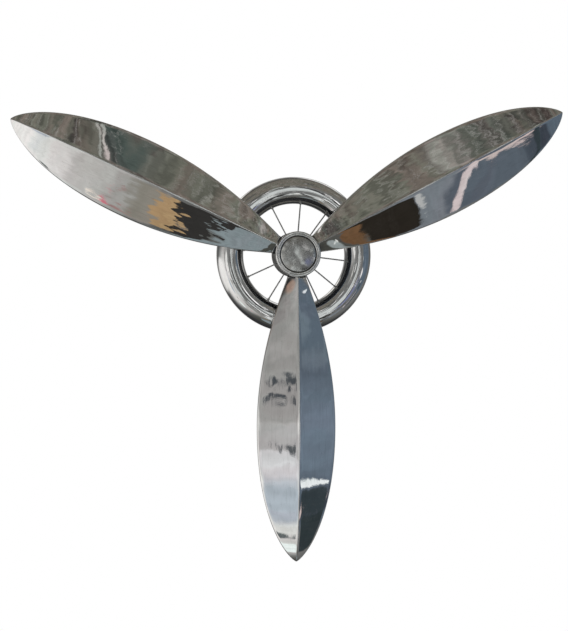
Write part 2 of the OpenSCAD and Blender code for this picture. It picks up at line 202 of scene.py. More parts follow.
def edge_drop(half_width):
    return DROP_MIN + (DROP_MAX - DROP_MIN) * half_width / WIDE_HALF


def front_section(distance, half_width):
    """(across, height over the edge plane) from one foot of the skin over the fold to the other."""
    top, foot = fold_rise(distance, half_width), edge_drop(half_width)
    slope = top / half_width
    edge = min(EDGE_ROUND, 0.45 * half_width)
    fold = min(FOLD_ROUND, 0.3 * half_width)
    bend = ((half_width, -edge), (half_width, 0), (half_width - edge, edge * slope))
    crown = ((fold, top - slope * fold), (0, top), (-fold, top - slope * fold))
    half = [np.array((half_width, -foot))]
    half += [bezier(bend, t) for t in np.linspace(0, 1, 7)]
    near, far = half_width - edge, fold
    half += [np.array((near + (far - near) * t, top - slope * (near + (far - near) * t)))
             for t in np.linspace(0, 1, 13)[1:-1]]
    over = [bezier(crown, t) for t in np.linspace(0, 1, 7)]
    return half + over + [np.array((-u, h)) for u, h in reversed(half)]


def skin_point(angle, distance, across, height):
    """A point of a blade, with height counted forwards from the plane of the blade's edges."""
    along = Vector((math.cos(angle), 0, math.sin(angle)))
    side = Vector((-math.sin(angle), 0, math.cos(angle)))
    return along * distance + side * across + Vector((0, -(EDGE_DEPTH + height), 0))


def wrapped(distance, across, first):
    """The first station follows the hub's round side."""
    return math.sqrt(ROOT_START ** 2 - across ** 2) if first else distance


def thicken(skin):
    """Gives an open skin the sheet's thickness, inwards."""
    thickness = skin.modifiers.new("thickness", "SOLIDIFY")
    thickness.thickness = SHEET
    thickness.offset = -1


def front_skin(side, seed):
    angle = blade_angle(side)
    stations = outline_stations(tip_radius(side), 70, 90)
    rows = []
    for i, (distance, half_width) in enumerate(stations):
        top = fold_rise(distance, half_width)
        row = []
        for across, height in front_section(distance, half_width):
            # The beating fades out at the edges, at the fold and at both ends of the blade.
            share = min(1.0, max(0.0, height) / top)
            fade = math.sin(math.pi * share) ** 0.7
            fade *= min(1.0, half_width / FADE_HALF_WIDTH, (distance - ROOT_START) / FADE_FROM_ROOT)
            flat = (distance, across, 0.0)
            dent = (BROAD_DENT * beaten(flat, BROAD_SIZE, seed)
                    + FINE_DENT * beaten(flat, FINE_SIZE, seed + 5))
            reach = wrapped(distance, across, i == 0)
            row.append(skin_point(angle, reach, across, height + fade * dent))
        rows.append(row)
    bm = bmesh.new()
    verts = add_grid(bm, rows)
    tip = verts[-1]
    for a, b in zip(tip[1:], tip[2:-1]):
        bm.faces.new((tip[0], a, b))
    bm.faces.new((tip[0], tip[-2], tip[-1]))
    skin = object_from_bmesh(side + "_blade_front", bm, 60)
    thicken(skin)
    return skin


def back_skin(side, seed):
    angle = blade_angle(side)
    rows = []
    columns = np.linspace(-1, 1, 25)
    stations = [st for st in outline_stations(tip_radius(side), 40, 60) if st[1] > BACK_END_HALF]
    for i, (distance, half_width) in enumerate(stations):
        inner_half = half_width - SHEET - BACK_GAP
        low = BACK_LIFT - edge_drop(half_width)
        row = []
        for t in columns:
            across = inner_half * t
            fade = (1 - t * t) * min(1.0, half_width / FADE_HALF_WIDTH)
            flat = (distance, across, 0.0)
            dent = BACK_DENT * (beaten(flat, BACK_SIZE, seed + 11) + 0.5)
            row.append(skin_point(angle, wrapped(distance, across, i == 0), across, low + fade * dent))
        rows.append(row)
    bm = bmesh.new()
    add_grid(bm, rows)
    skin = object_from_bmesh(side + "_blade_back", bm, 60)
    # The normals of an open sheet can face either way, so the back skin's are turned to the wall.
    if skin.data.polygons[0].normal.y < 0:
        skin.data.flip_normals()
    thicken(skin)
    return skin


# ---------------------------------------------------------------- ring


def ring_half(name, front, seed):
    """Half of the tube ring, as a closed shell with eased edges at the seam."""
    turn = 1 if front else -1
    outline = []
    for t in np.linspace(0, 1, 49):
        a = math.pi * t
        r = TUBE_R - SEAM_EASE * max(0.0, 1 - min(t, 1 - t) * SEAM_EASE_RATE)
        outline.append((RING_R + r * math.cos(a), RING_DEPTH + turn * r * math.sin(a)))
    r = TUBE_R - SHEET
    for t in np.linspace(1, 0, 25):
        a = math.pi * t
        outline.append((RING_R + r * math.cos(a), RING_DEPTH + turn * r * math.sin(a)))

    def dented(point):
        radial = Vector((point.x, 0, point.z)).normalized() * RING_R
        out = point - (radial + Vector((0, -RING_DEPTH, 0)))
        broad = RING_BROAD_DENT * beaten(point, RING_BROAD_SIZE, seed)
        fine = RING_FINE_DENT * beaten(point, RING_FINE_SIZE, seed + 3)
        dent = broad + fine - RING_BROAD_DENT
        # The seam stays true, so both halves meet.
        keep = min(1.0, abs(point.y + RING_DEPTH) / SEAM_KEEP)
        return point + out.normalized() * dent * keep

    return lathe(name, outline, segments=320, sharp_degrees=50, wobble=dented)


# ---------------------------------------------------------------- materials


class Tree:
    """A small helper that adds nodes to a tree. A value is a plain one or another node's output."""

    def __init__(self, tree, coordinates):
        self.tree = tree
        self.place = self.add("ShaderNodeTexCoord").outputs[coordinates]

    def add(self, kind):
        return self.tree.nodes.new(kind)

    def link(self, out, into):
        self.tree.links.new(out, into)

    def fill(self, socket, value):
        if isinstance(value, bpy.types.NodeSocket):
            self.link(value, socket)
        else:
            socket.default_value = value

    def maths(self, operation, *values):
        node = self.add("ShaderNodeMath")
        node.operation = operation
        for socket, value in zip(node.inputs, values):
            self.fill(socket, value)
        return node.outputs[0]

    def vector_maths(self, operation, *values, scale=None):
        node = self.add("ShaderNodeVectorMath")
        node.operation = operation
        for socket, value in zip(node.inputs, values):
            self.fill(socket, value)
        if scale is not None:
            self.fill(node.inputs["Scale"], scale)
        return node.outputs["Value" if operation in ("LENGTH", "DOT_PRODUCT") else "Vector"]

    def noise(self, scale, detail=3.0, roughness=0.5, vector=None, distortion=0.0, output="Fac"):
        node = self.add("ShaderNodeTexNoise")
        node.inputs["Scale"].default_value = scale
        node.inputs["Detail"].default_value = detail
        node.inputs["Roughness"].default_value = roughness
        node.inputs["Distortion"].default_value = distortion
        self.link(vector or self.place, node.inputs["Vector"])
        return node.outputs[output]

    def ramp(self, value, low, high, low_at=0.35, high_at=0.65, curve="SMOOTHSTEP"):
        """low where the value is low_at, high where it is high_at, and a curve between."""
        node = self.add("ShaderNodeMapRange")
        node.interpolation_type = curve
        for key, number in (("From Min", low_at), ("From Max", high_at), ("To Min", low), ("To Max", high)):
            node.inputs[key].default_value = number
        self.link(value, node.inputs["Value"])
        return node.outputs["Result"]

    def straight_ramp(self, value, low, high, low_at, high_at):
        return self.ramp(value, low, high, low_at, high_at, curve="LINEAR")

    def mix(self, factor, first, second):
        """A blend of two colours."""
        node = self.add("ShaderNodeMix")
        node.data_type = "RGBA"
        self.fill(node.inputs["Factor"], factor)
        for key, value in (("A", first), ("B", second)):
            socket = next(s for s in node.inputs if s.name == key and s.type == "RGBA")
            self.fill(socket, (*value, 1) if isinstance(value, tuple) else value)
        return next(s for s in node.outputs if s.type == "RGBA")


class Nodes(Tree):
    """A new material's nodes, in the coordinates of its object."""

    def __init__(self, name):
        self.material = bpy.data.materials.new(name)
        self.material.use_nodes = True
        super().__init__(self.material.node_tree, "Object")
        self.shader = self.tree.nodes["Principled BSDF"]

    def set(self, **values):
        for key, value in values.items():
            self.shader.inputs[key.replace("_", " ")].default_value = value

    def mapped(self, scale=(1, 1, 1), rotation=(0, 0, 0)):
        """Object coordinates, turned first and then scaled."""
        turn = self.add("ShaderNodeMapping")
        turn.inputs["Rotation"].default_value = rotation
        self.link(self.place, turn.inputs["Vector"])
        stretch = self.add("ShaderNodeMapping")
        stretch.inputs["Scale"].default_value = scale
        self.link(turn.outputs["Vector"], stretch.inputs["Vector"])
        return stretch.outputs["Vector"]

    def radius(self):
        """Distance from the propeller axis."""
        return self.vector_maths("LENGTH", self.vector_maths("MULTIPLY", self.place, (1, 0, 1)))

    def distance_along(self, right, up):
        """How far a point lies along a direction in the plane of the wall."""
        return self.vector_maths("DOT_PRODUCT", self.place, (right, 0, up))

    def lean(self, slope, angle):
        """The surface normal leaned along the blade at angle by slope."""
        along = self.add("ShaderNodeVectorTransform")
        along.vector_type = "VECTOR"
        along.convert_from = "OBJECT"
        along.convert_to = "WORLD"
        along.inputs[0].default_value = (math.cos(angle), 0, math.sin(angle))
        push = self.vector_maths("SCALE", along.outputs[0], scale=slope)
        straight = self.add("ShaderNodeNewGeometry").outputs["Normal"]
        return self.vector_maths("NORMALIZE", self.vector_maths("ADD", straight, push))

    def bump(self, layers, normal=None):
        """Stacked bumps. Each layer is (height output, strength, distance in metres)."""
        for height, strength, distance in layers:
            node = self.add("ShaderNodeBump")
            node.inputs["Strength"].default_value = strength
            node.inputs["Distance"].default_value = distance
            self.link(height, node.inputs["Height"])
            if normal:
                self.link(normal, node.inputs["Normal"])
            normal = node.outputs["Normal"]
        self.link(normal, self.shader.inputs["Normal"])


# On a blade the polishing strokes grow over STROKE_EDGE across the fold, from one facet to the other,
# and weaken over STROKE_END along the blade. The warp fades out over WARP_FADE.
STROKE_EDGE, STROKE_END = (-2 * MM, 4 * MM), (280 * MM, 340 * MM)
WARP_FADE = 50 * MM


def blade_slope(m, angle, strokes, warp, warp_from, warp_to):
    """Slope along the blade: fine polishing strokes, and a facet that is warped between two distances."""
    along, up = math.cos(angle), math.sin(angle)
    distance, across = m.distance_along(along, up), m.distance_along(-up, along)
    depth = m.maths("MULTIPLY", m.ramp(across, 0.15, 1.0, *STROKE_EDGE),
                    m.ramp(distance, 1.0, 0.35, *STROKE_END))
    fine = m.noise(130.0, 2.0, 0.5, vector=m.mapped(scale=(0.16, 1, 1), rotation=(0, angle, 0)))
    fine = m.maths("MULTIPLY", m.maths("SUBTRACT", fine, 0.5), m.maths("MULTIPLY", depth, strokes))
    facet = m.maths("MAXIMUM", m.maths("MULTIPLY", across, -1), 0)
    place = m.maths("MULTIPLY", m.ramp(distance, 0.0, 1.0, warp_from - WARP_FADE, warp_from),
                    m.ramp(distance, 1.0, 0.0, warp_to, warp_to + WARP_FADE))
    return m.maths("MULTIPLY_ADD", m.maths("MULTIPLY", facet, place), warp, fine)


def polished_metal(name, angle=0.0, light=(0.92, 0.92, 0.91), dull=(0.78, 0.77, 0.75),
                   gloss=0.03, haze=0.10, ripple=1.0, slopes=None, shade_inside=0.0):
    """Mirror-bright sheet with polished ripples, faint lines along angle, hazy patches and small pits.

    slopes are blade_slope's four numbers. Inside the radius given as the last argument the metal is painted
    near black, as shade in the recess under the cap's lip.
    """
    m = Nodes(name)
    along = m.mapped(scale=(5, 60, 60), rotation=(0, angle, 0))
    stretched = m.mapped(scale=(0.35, 1, 1), rotation=(0, angle, 0))
    patches = m.noise(7.0, 5.0, 0.62)
    haze_map = m.noise(16.0, 6.0, 0.7, distortion=0.6)
    lines = m.noise(3.0, 4.0, 0.6, vector=along)
    pits = m.noise(420.0, 2.0, 0.5)
    colour = m.mix(m.ramp(patches, 0.0, 0.75, 0.42, 0.70), light, dull)
    colour = m.mix(m.ramp(lines, 0.0, 0.20, 0.50, 0.68), colour, (0.62, 0.61, 0.59))
    colour = m.mix(m.ramp(pits, 0.0, 0.35, 0.66, 0.74), colour, (0.40, 0.39, 0.37))
    # Painted shade: near black inside the lip radius, where the recess under the cap's lip lies in shade.
    if shade_inside:
        groove = m.ramp(m.radius(), 1.0, 0.0, shade_inside - 0.2 * MM, shade_inside + 0.5 * MM)
        colour = m.mix(groove, colour, LIP_SHADE_COLOUR)
    m.link(colour, m.shader.inputs["Base Color"])
    m.link(m.ramp(haze_map, gloss, haze, 0.48, 0.78), m.shader.inputs["Roughness"])
    m.set(Metallic=1.0)
    m.bump([(m.noise(24.0, 1.0, 0.4), 1.0, 0.30 * MM * ripple),
            (m.noise(80.0, 1.0, 0.4, vector=stretched), 1.0, 0.040 * MM * ripple),
            (lines, 0.5, 0.015 * MM), (pits, 0.3, 0.03 * MM)],
           m.lean(blade_slope(m, angle, *slopes), angle) if slopes else None)
    return m.material


def brushed_metal(name, angle=0.0, light=(0.72, 0.72, 0.71), dark=(0.50, 0.50, 0.49),
                  low=0.22, high=0.42):
    """Satin metal with brushing along angle."""
    m = Nodes(name)
    along = m.mapped(scale=(8, 140, 140), rotation=(0, angle, 0))
    lines = m.noise(26.0, 5.0, 0.65, vector=along)
    stains = m.noise(9.0, 5.0, 0.6)
    colour = m.mix(m.ramp(lines, 0.0, 1.0, 0.3, 0.7), light, dark)
    colour = m.mix(m.ramp(stains, 0.0, 0.4, 0.5, 0.75), colour, (0.36, 0.35, 0.33))
    m.link(colour, m.shader.inputs["Base Color"])
    m.link(m.ramp(stains, low, high), m.shader.inputs["Roughness"])
    m.set(Metallic=1.0)
    m.bump([(lines, 0.12, 0.2 * MM), (m.noise(40.0, 2.0), 0.06, 0.5 * MM)])
    return m.material


def dome_metal(name, edge):
    """Satin grey cap metal with a cloudy hand-rubbed finish, painted near black from the radius edge
    outwards as shade in the groove under the lip.
    """
    m = Nodes(name)
    clouds = m.noise(38.0, 4.0, 0.5, distortion=0.5)
    rub = m.noise(260.0, 4.0, 0.7)
    colour = m.mix(m.ramp(clouds, 0.0, 1.0, 0.35, 0.7), (0.74, 0.74, 0.72), (0.58, 0.58, 0.56))
    colour = m.mix(m.ramp(rub, 0.0, 0.2, 0.55, 0.75), colour, (0.66, 0.67, 0.65))
    # Painted shade: near black from the dome's edge outwards, where it drops into the shadowed groove under
    # the lip.
    colour = m.mix(m.ramp(m.radius(), 0.0, 1.0, edge - 0.7 * MM, edge), colour, LIP_SHADE_COLOUR)
    m.link(colour, m.shader.inputs["Base Color"])
    m.link(m.ramp(clouds, 0.13, 0.24), m.shader.inputs["Roughness"])
    m.set(Metallic=1.0)
    m.bump([(m.noise(48.0, 2.0), 0.6, 0.5 * MM), (rub, 0.04, 0.1 * MM)])
    return m.material


def dark_metal(name, base=(0.035, 0.036, 0.040), worn=(0.10, 0.10, 0.105), gloss=0.28, metallic=0.6):
    """Blackened metal with rubbed places."""
    m = Nodes(name)
    wear = m.noise(60.0, 6.0, 0.7)
    fine = m.noise(600.0, 3.0, 0.6)
    colour = m.mix(m.ramp(wear, 0.0, 0.8, 0.5, 0.72), base, worn)
    m.link(colour, m.shader.inputs["Base Color"])
    m.link(m.ramp(wear, gloss, gloss + 0.2), m.shader.inputs["Roughness"])
    m.set(Metallic=metallic)
    m.bump([(fine, 0.10, 0.1 * MM)])
    return m.material


def wire_metal(name, light, dark, low=0.22, high=0.45):
    """Drawn or plated steel with dull spots."""
    m = Nodes(name)
    spots = m.noise(180.0, 5.0, 0.7)
    grain = m.noise(900.0, 3.0, 0.6)
    m.link(m.mix(m.ramp(spots, 0.0, 1.0, 0.4, 0.7), light, dark), m.shader.inputs["Base Color"])
    m.link(m.ramp(spots, low, high), m.shader.inputs["Roughness"])
    m.set(Metallic=1.0)
    m.bump([(grain, 0.10, 0.1 * MM)])
    return m.material


def soft_plastic(name, light, dark, roughness):
    """Nylon or rubber with a fine grain."""
    m = Nodes(name)
    cloud = m.noise(120.0, 4.0, 0.6)
    grain = m.noise(1500.0, 3.0, 0.6)
    m.link(m.mix(m.ramp(cloud, 0.0, 1.0), light, dark), m.shader.inputs["Base Color"])
    m.link(m.ramp(grain, roughness, roughness + 0.15), m.shader.inputs["Roughness"])
    m.bump([(grain, 0.2, 0.1 * MM)])
    return m.material


def give(obj, material):
    obj.data.materials.clear()
    obj.data.materials.append(material)
    for face in obj.data.polygons:
        face.material_index = 0


# ---------------------------------------------------------------- making the object
RING = polished_metal("ring_polish", light=(0.92, 0.92, 0.91), dull=(0.80, 0.79, 0.77),
                      gloss=0.035, haze=0.09, ripple=0.6)
# The bezel is painted near black inside its lip, as shade in the recess under the lip.
BEZEL = polished_metal("bezel_polish", light=(0.90, 0.90, 0.89), dull=(0.72, 0.72, 0.70),
                       gloss=0.06, haze=0.14, ripple=0.5, shade_inside=LIP_R)
CAST = brushed_metal("cast_aluminium", light=(0.66, 0.66, 0.65), dark=(0.48, 0.48, 0.47))
DRUM = dark_metal("drum_black")
SCREW = dark_metal("screw_black", base=(0.05, 0.05, 0.055), worn=(0.16, 0.16, 0.17),
                   gloss=0.22, metallic=0.8)
ZINC = wire_metal("zinc_plate", (0.62, 0.62, 0.60), (0.42, 0.42, 0.40))
SPOKE = wire_metal("spoke_wire", (0.62, 0.62, 0.61), (0.40, 0.40, 0.39), 0.15, 0.35)
NIPPLE = wire_metal("nipple_plate", (0.50, 0.50, 0.48), (0.28, 0.28, 0.27))
BRONZE = wire_metal("bush_bronze", (0.62, 0.44, 0.22), (0.44, 0.30, 0.15))
NYLON = soft_plastic("washer_nylon", (0.82, 0.80, 0.72), (0.70, 0.68, 0.60), 0.45)
RUBBER = soft_plastic("pad_rubber", (0.030, 0.030, 0.031), (0.018, 0.018, 0.019), 0.7)

# For each blade: how strong its polishing strokes are, its warp in radians for each metre from the
# fold, and the two distances from the axis between which it is warped. The lower one isn't warped.
BLADE_SLOPES = {
    "left": (0.12, -0.63, 0.43, 0.53),
    "right": (0.08, 0.78, 0.34, 0.47),
    "lower": (0.02, 0, 0.3, 0.5),
}
FIRST_SEED, SEED_STEP, RING_SEED, DOME_SEED = 3.1, 2.3, 4.0, 8.0

for number, blade in enumerate(BLADES):
    turn = blade_angle(blade)
    seed = FIRST_SEED + SEED_STEP * number
    front = front_skin(blade, seed)
    give(front, polished_metal(blade + "_blade_polish", turn, gloss=0.015, haze=0.06,
                               slopes=BLADE_SLOPES[blade]))
    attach(front, TURNING)
    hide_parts(blade + "_front_skin")
    back = back_skin(blade, seed)
    give(back, brushed_metal(blade + "_back_brushed", turn))
    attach(back, TURNING)
    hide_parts(blade + "_back_skin")
    give(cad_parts[blade + "_spar"], CAST)

for node, front in (("ring_front_shell", True), ("ring_rear_shell", False)):
    half = ring_half(node.replace("shell", "tube"), front, RING_SEED)
    give(half, RING)
    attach(half, FIXED)
    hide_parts(node)

# Cap rim: two round beads with a groove between them, and a lip over the dome.
SEAT_DEPTH = BEZEL_FRONT - 4 * MM
SPIGOT_R, SPIGOT_END = HUB_R - 4.6 * MM, HUB_FRONT - 4 * MM
RIM_HEIGHT, GROOVE_DEPTH, LIP_HEIGHT = 4.0 * MM, 1.2 * MM, 2.0 * MM
bezel_outline = [(DOME_SEAT_R, SPIGOT_END), (SPIGOT_R, SPIGOT_END), (SPIGOT_R, HUB_FRONT),
                 (BEZEL_R, HUB_FRONT)]


def bead_arc(centre_r, half_width, depth, from_degrees, to_degrees, steps):
    """A quarter of a bead's oval section, depth below its crown at the foot."""
    angles = np.radians(np.linspace(from_degrees, to_degrees, steps + 1))
    foot = BEZEL_FRONT - depth
    return [(centre_r + half_width * math.cos(a), foot + depth * math.sin(a)) for a in angles]


OUTER_BEAD_R, OUTER_BEAD_HALF = (BEZEL_R + GROOVE_R) / 2, (BEZEL_R - GROOVE_R) / 2
INNER_BEAD_R, INNER_BEAD_HALF = (GROOVE_R + LIP_R) / 2, (GROOVE_R - LIP_R) / 2
bezel_outline += bead_arc(OUTER_BEAD_R, OUTER_BEAD_HALF, RIM_HEIGHT, 0, 90, 12)
bezel_outline += bead_arc(OUTER_BEAD_R, OUTER_BEAD_HALF, GROOVE_DEPTH, 90, 180, 10)[1:]
bezel_outline += bead_arc(INNER_BEAD_R, INNER_BEAD_HALF, GROOVE_DEPTH, 0, 90, 8)[1:]
bezel_outline += bead_arc(INNER_BEAD_R, INNER_BEAD_HALF, LIP_HEIGHT, 90, 180, 8)[1:]
bezel_outline += [(LIP_R, SEAT_DEPTH), (DOME_SEAT_R, SEAT_DEPTH)]
bezel = lathe("cap_rim", bezel_outline, segments=192, sharp_degrees=30)
give(bezel, BEZEL)
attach(bezel, TURNING)
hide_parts("cap_bezel")

# Dome: a shallow spherical cap that drops into a groove beside the lip and ends in a flange under it.
FLANGE_DEPTH = SEAT_DEPTH - 0.1 * MM
DOME_EDGE_R = LIP_R - 1.6 * MM
DOME_EDGE_DEPTH = FLANGE_DEPTH + 1.7 * MM
DOME_RISE = DOME_FRONT - DOME_EDGE_DEPTH
DOME_SPHERE = (DOME_EDGE_R ** 2 + DOME_RISE ** 2) / (2 * DOME_RISE)
DOME_DENT, DOME_DENT_SIZE = 0.3 * MM, 22 * MM


def dome_arc(drop, half_angle, steps):
    centre = DOME_FRONT - DOME_SPHERE
    radius = DOME_SPHERE - drop
    return [(radius * math.sin(half_angle * k / steps), centre + radius * math.cos(half_angle * k / steps))
            for k in range(steps + 1)]


def dome_dents(point):
    radius = math.hypot(point.x, point.z)
    fade = max(0.0, 1 - (radius / DOME_EDGE_R) ** 4)
    dent = 0.6 + 0.6 * beaten(point, DOME_DENT_SIZE, DOME_SEED)
    return point + Vector((0, fade * DOME_DENT * dent, 0))


dome_outline = dome_arc(0.0, math.asin((DOME_EDGE_R - 0.5 * MM) / DOME_SPHERE), 24)
dome_outline += [(DOME_EDGE_R - 0.1 * MM, DOME_EDGE_DEPTH - 0.15 * MM),
                 (DOME_EDGE_R, DOME_EDGE_DEPTH - 0.5 * MM), (DOME_EDGE_R, FLANGE_DEPTH),
                 (DOME_SEAT_R, FLANGE_DEPTH), (DOME_SEAT_R, FLANGE_DEPTH - SHEET),
                 (DOME_EDGE_R - SHEET, FLANGE_DEPTH - SHEET)]
dome_outline += dome_arc(SHEET, math.asin((DOME_EDGE_R - SHEET) / (DOME_SPHERE - SHEET)), 12)[::-1]
dome = lathe("cap_centre", dome_outline, segments=128, sharp_degrees=50, wobble=dome_dents)
give(dome, dome_metal("dome_satin", DOME_EDGE_R))
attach(dome, TURNING)
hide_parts("cap_dome")

for node, material in (
    ("hanger_plate", ZINC), ("hanger_screws", SCREW), ("rear_cover", CAST), ("cover_screws", SCREW),
    ("fixed_drum", DRUM), ("axle_bolt", ZINC), ("axle_washer", ZINC), ("axle_jam_nut", ZINC),
    ("friction_washer", NYLON), ("thrust_washer", ZINC), ("axle_lock_nut", ZINC), ("spokes", SPOKE),
    ("spoke_nipples", NIPPLE), ("wall_pads", RUBBER), ("turning_hub", DRUM), ("rear_bush", BRONZE),
    ("front_bush", BRONZE), ("spar_screws", SCREW), ("spar_rivets", CAST), ("dome_clip", ZINC),
    ("bezel_grub_screws", SCREW),
):
    give(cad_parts[node], material)

# ---------------------------------------------------------------- surroundings


def direction(right, up):
    """A unit vector, given in degrees to the right of straight out of the wall and above level."""
    a, e = math.radians(right), math.radians(up)
    return Vector((math.sin(a) * math.cos(e), -math.cos(a) * math.cos(e), math.sin(e)))


# What the polished metal mirrors: a dim room with soft oval panels, the later ones over the earlier.
# Each is (right, up, half width, half height, tilt, softness, colour), with the first five in degrees.
# With 77 panels the whole picture renders black and no error is printed, and with 74 it renders.
ROOM_COLOUR = (0.16, 0.165, 0.165)
PANELS = (
    # overhead: olive ceiling with darker and lighter places
    (0, 90, 66, 66, 0, 0.15, (0.150, 0.143, 0.124)),
    (-9, 58, 4, 3, 0, 0.3, (0.225, 0.220, 0.205)),
    (38, 56, 7, 5, 50, 0.5, (0.125, 0.121, 0.112)),
    (37, 56.3, 3, 3.0, 50, 0.4, (0.064, 0.077, 0.074)),
    (33.3, 58.2, 3.2, 0.45, 50, 0.4, (0.50, 0.49, 0.48)),
    (31.7, 59.0, 3.2, 0.3, 50, 0.4, (0.42, 0.41, 0.40)),
    (6, 60.9, 4.5, 1.8, 10, 0.25, (0.105, 0.108, 0.098)),
    (28, 63.1, 8, 0.75, 0, 0.4, (0.104, 0.098, 0.091)),
    (48, 63, 9, 2.5, 0, 0.5, (0.070, 0.064, 0.058)),
    (-55, 55, 9, 5, 0, 0.4, (0.085, 0.085, 0.080)),
    (73, 46, 4, 3, 0, 0.4, (0.26, 0.265, 0.255)),
    # left: dark corner above, warm grey wall, bright opening below
    (-100, 30, 38, 20, 0, 0.35, (0.020, 0.020, 0.020)),
    (-60, 9, 17, 10, 0, 0.2, (0.190, 0.187, 0.183)),
    (-76, 16, 8, 5, 0, 0.3, (0.29, 0.19, 0.145)),
    (-105, -14, 42, 14, 0, 0.15, (0.88, 0.88, 0.88)),
    (-55, -30, 34, 20, 0, 0.25, (0.42, 0.42, 0.415)),
    (-68, -19, 30, 22, 0, 0.9, (0.88, 0.88, 0.87)),
    (-50, 2, 6, 7, 0, 0.25, (0.34, 0.34, 0.335)),
    (-50, -8, 6, 3.5, 0, 0.3, (0.45, 0.45, 0.455)),
    (-51, -13, 6, 3.8, 0, 0.10, (0.66, 0.66, 0.685)),
    (-51.5, -22, 5.2, 6.4, 0, 0.35, (0.44, 0.495, 0.56)),
    (-55.4, -33.6, 1.5, 1.9, 0, 0.3, (0.12, 0.14, 0.145)),
    (-59, -42, 4, 4, 0, 0.2, (0.86, 0.96, 0.95)),
    (-50.6, 3.6, 0.5, 1.1, 0, 0.3, (0.07, 0.08, 0.09)),
    (-49.3, 2.6, 0.5, 1.3, 0, 0.3, (0.07, 0.08, 0.09)),
    (-50.2, 0.0, 0.5, 0.6, 0, 0.3, (0.07, 0.08, 0.09)),
    (-49.6, -8.6, 0.55, 1.2, 0, 0.3, (0.10, 0.11, 0.12)),
    # right: slate wall
    (75, -5, 33, 24, 0, 0.15, (0.105, 0.138, 0.178)),
    (67, -8, 7, 7.5, 0, 0.4, (0.148, 0.192, 0.248)),
    (68.5, 5, 3.5, 1.3, 30, 0.6, (0.150, 0.192, 0.235)),
    (68, 15.5, 10, 2.5, 0, 0.3, (0.45, 0.46, 0.47)),
    # low: dark floor, with pale and coloured things standing on it
    (0, -90, 38, 38, 0, 0.3, (0.065, 0.067, 0.060)),
    (-20, -67, 15, 12.5, 0, 0.04, (0.225, 0.270, 0.290)),
    (62, -64, 7, 4.5, 0, 0.2, (0.33, 0.37, 0.38)),
    (-36, -43.5, 7, 3, 130, 0.6, (0.36, 0.355, 0.345)),
    (-41, -39.6, 5, 3, 130, 0.7, (0.50, 0.495, 0.485)),
    (-29, -47, 3, 3, 50, 0.5, (0.26, 0.245, 0.215)),
    (-23.6, -50.2, 1.3, 3, 50, 0.15, (0.41, 0.285, 0.155)),
    (-17.0, -53.0, 3.2, 2.8, 40, 0.05, (0.032, 0.031, 0.030)),
    (-34.3, -45.7, 2.8, 0.6, 139, 0.3, (0.33, 0.21, 0.205)),
    (-37.7, -43.5, 1.0, 0.65, 139, 0.3, (0.62, 0.20, 0.25)),
    (-40.0, -41.9, 1.7, 0.55, 139, 0.3, (0.80, 0.72, 0.66)),
    (50, -41.5, 12, 6, 48, 0.2, (0.19, 0.215, 0.245)),
    (61, -31, 9, 5, 48, 0.1, (0.100, 0.122, 0.152)),
    (69, -23, 5, 4, 48, 0.3, (0.062, 0.078, 0.100)),
    (73, -20.5, 3, 3, 0, 0.4, (0.046, 0.056, 0.074)),
    (56.3, -35.5, 3.5, 0.8, -42, 0.25, (0.68, 0.60, 0.61)),
    (62.4, -28, 11, 1.2, 47, 0.2, (0.60, 0.51, 0.50)),
    (44.5, -54.8, 4.8, 3.2, 125, 0.15, (0.150, 0.084, 0.044)),
    (42.1, -48.3, 4.5, 2.8, 48, 0.08, (0.024, 0.021, 0.017)),
    (46.3, -43.8, 0.9, 0.7, -42, 0.3, (0.46, 0.47, 0.48)),
    (55.5, -59.5, 1.6, 0.8, 60, 0.3, (0.80, 0.83, 0.82)),
    (60, -62.5, 2.5, 0.7, 120, 0.3, (0.70, 0.74, 0.74)),
    (73, -32.5, 10.5, 1.9, -71, 0.15, (0.031, 0.042, 0.047)),
    (68.7, -21.6, 3.0, 1.5, -75, 0.08, (0.036, 0.050, 0.058)),
    (67, -17.5, 2.6, 0.75, 0, 0.2, (0.85, 0.92, 0.94)),
    (86, 9, 4, 0.8, 40, 0.3, (0.75, 0.80, 0.85)),
    # in front: seen mostly in the ring and the cap
    (-36, -4, 10, 8, 0, 0.2, (0.85, 0.85, 0.84)),
    (31, -15, 9, 7, 0, 0.5, (0.19, 0.21, 0.34)),
    (8, -38, 5, 3, 0, 0.4, (0.60, 0.62, 0.60)),
    (13, 5, 6, 1.6, -30, 0.4, (0.55, 0.56, 0.54)),
    (-27, 14, 6, 5, 20, 0.5, (0.40, 0.40, 0.38)),
    (-12, -29, 12, 8, 0, 0.4, (0.27, 0.27, 0.26)),
    (24, -32, 9, 6, -20, 0.3, (0.035, 0.036, 0.036)),
    (-2, 30, 14, 6, 0, 0.4, (0.090, 0.088, 0.080)),
    # lamps
    (24, 15, 8, 3.5, -30, 0.2, (1.10, 1.10, 1.12)),
    (48, -9, 6, 2.5, -10, 0.3, (0.85, 0.85, 0.87)),
    (-76, 50, 4, 3, 0, 0.3, (0.95, 0.95, 0.95)),
    # behind the object: dark, with a pale wall and two windows
    (180, 20, 60, 45, 0, 0.4, (0.030, 0.031, 0.033)),
    (180, -50, 50, 35, 0, 0.4, (0.030, 0.031, 0.033)),
    (178, 12, 36, 32, 0, 0.4, (0.34, 0.34, 0.33)),
    (150, 38, 14, 9, 0, 0.3, (0.85, 0.86, 0.88)),
    (-152, 30, 12, 9, 0, 0.3, (0.90, 0.90, 0.88)),
)
PANEL_WAVER = 0.05

# Scraps in front of the object: (scale of the noise, where it starts, where it is full, colour).
# They lie round the direction AHEAD, from AHEAD_FROM degrees away, and are full within AHEAD_FULL.
AHEAD, AHEAD_FROM, AHEAD_FULL = (5, -6), 44, 36
SCRAPS = ((4.0, 0.56, 0.58, (0.60, 0.63, 0.63)), (6.0, 0.60, 0.63, (0.05, 0.05, 0.05)),
          (11.0, 0.635, 0.65, (1.0, 1.0, 1.0)))


